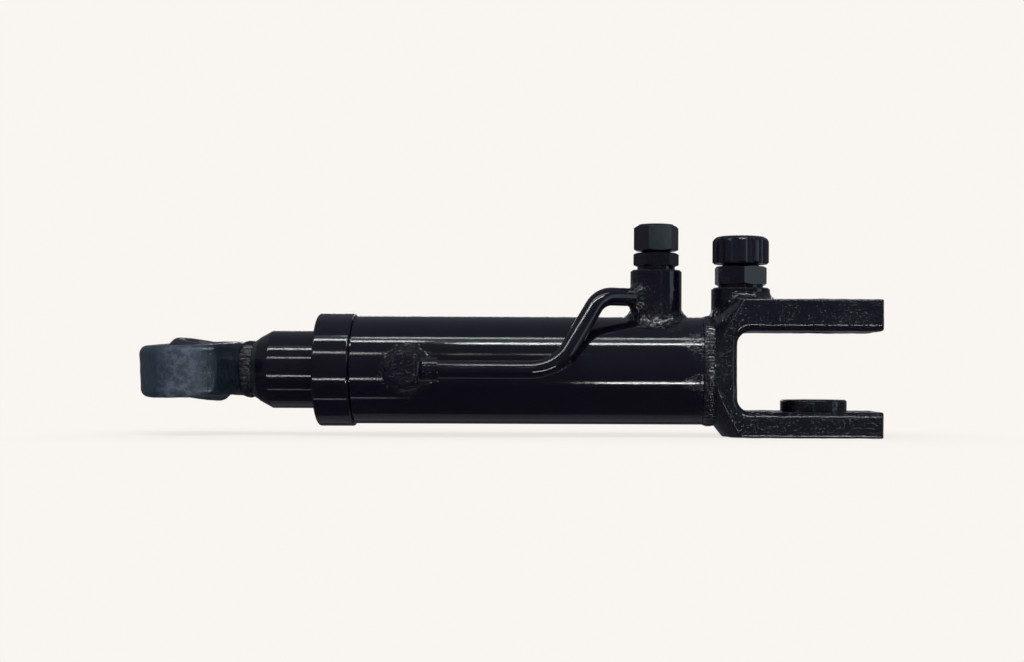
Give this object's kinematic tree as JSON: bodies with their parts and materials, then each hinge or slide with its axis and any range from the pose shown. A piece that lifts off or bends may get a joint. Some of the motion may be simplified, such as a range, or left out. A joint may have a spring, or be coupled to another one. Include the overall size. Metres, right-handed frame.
{
  "type": "hydraulic lift cylinder",
  "caption": "Short double-acting hydraulic lift cylinder with a fork at one end, a ball eye on the rod and two capped ports joined by an outside pipe.",
  "frame": {"origin": "where the axis of the fork's pin hole crosses the cylinder axis", "axes": "+X along the cylinder axis towards the fork's open end, +Z along the pin hole towards the two ports, -Y towards the transfer pipe's lower run"},
  "size_m": [0.4101, 0.079, 0.1179],
  "materials": {
    "gloss_black_paint": "gloss black paint over turned steel",
    "forged_black_paint": "gloss black paint over a rough forging",
    "cast_black_paint": "satin blue-black paint over a cast skin",
    "painted_weld": "black paint over rippled weld",
    "black_plastic": "moulded, half gloss",
    "hardened_steel": "ground, sprayed black where it is open",
    "chromed_bar": "polished hard chrome, sprayed black outside the gland of the closed cylinder",
    "machined_steel": "turned",
    "bronze_bush": "turned bronze",
    "seal_rubber": "smooth nitrile rubber",
    "seal_polymer": "smooth polyurethane"
  },
  "bodies": {
    "barrel": {"fork_base": "forged_black_paint", "fork_bush": "forged_black_paint", "barrel_tube": "gloss_black_paint", "barrel_weld": "painted_weld", "gland": "gloss_black_paint", "rod_guide_bush_inner": "bronze_bush", "rod_guide_bush_outer": "bronze_bush", "rod_seal": "seal_polymer", "gland_o_ring": "seal_rubber", "gland_backup_ring": "seal_polymer", "wiper_seal": "seal_rubber", "rod_side_port_block": "gloss_black_paint", "port_block_weld": "painted_weld", "base_port_boss": "gloss_black_paint", "base_port_weld": "painted_weld", "rod_side_adapter": "gloss_black_paint", "base_adapter": "gloss_black_paint", "rod_side_seal_washer": "gloss_black_paint", "base_seal_washer": "gloss_black_paint", "rod_side_boss": "gloss_black_paint", "rod_side_boss_weld": "painted_weld", "pipe_sleeve": "gloss_black_paint", "transfer_pipe": "gloss_black_paint", "pipe_end_weld": "painted_weld"},
    "piston": {"piston": "machined_steel", "piston_seal": "seal_polymer", "piston_seal_energiser": "seal_rubber", "piston_guide_ring_base_side": "seal_polymer", "piston_guide_ring_rod_side": "seal_polymer"},
    "rod": {"piston_rod": "chromed_bar", "piston_nut": "machined_steel", "rod_o_ring": "seal_rubber", "rod_eye": "cast_black_paint", "rod_eye_weld": "painted_weld"},
    "ball": {"eye_ball": "hardened_steel"},
    "rod_side_cap": {"rod_side_cap": "gloss_black_paint"},
    "base_cap": {"base_cap": "black_plastic"}
  },
  "joints": [
    {"name": "rod_slide", "type": "slide", "parent": "barrel", "child": "piston", "axis": [-1, 0, 0], "range_m": [0, 0.125]},
    {"name": "rod_turn", "type": "hinge", "parent": "piston", "child": "rod", "pos_m": [0, 0, 0], "axis": [1, 0, 0], "continuous": true},
    {"name": "ball_tilt", "type": "hinge", "parent": "rod", "child": "ball", "pos_m": [-0.3423, 0, 0], "axis": [0, 0.9986, 0.0523], "range_deg": [-28, 8]},
    {"name": "rod_cap_lift", "type": "slide", "parent": "barrel", "child": "rod_side_cap", "axis": [0, 0, 1], "range_m": [0, 0.06]},
    {"name": "base_cap_lift", "type": "slide", "parent": "barrel", "child": "base_cap", "axis": [0, 0, 1], "range_m": [0, 0.06]}
  ]
}
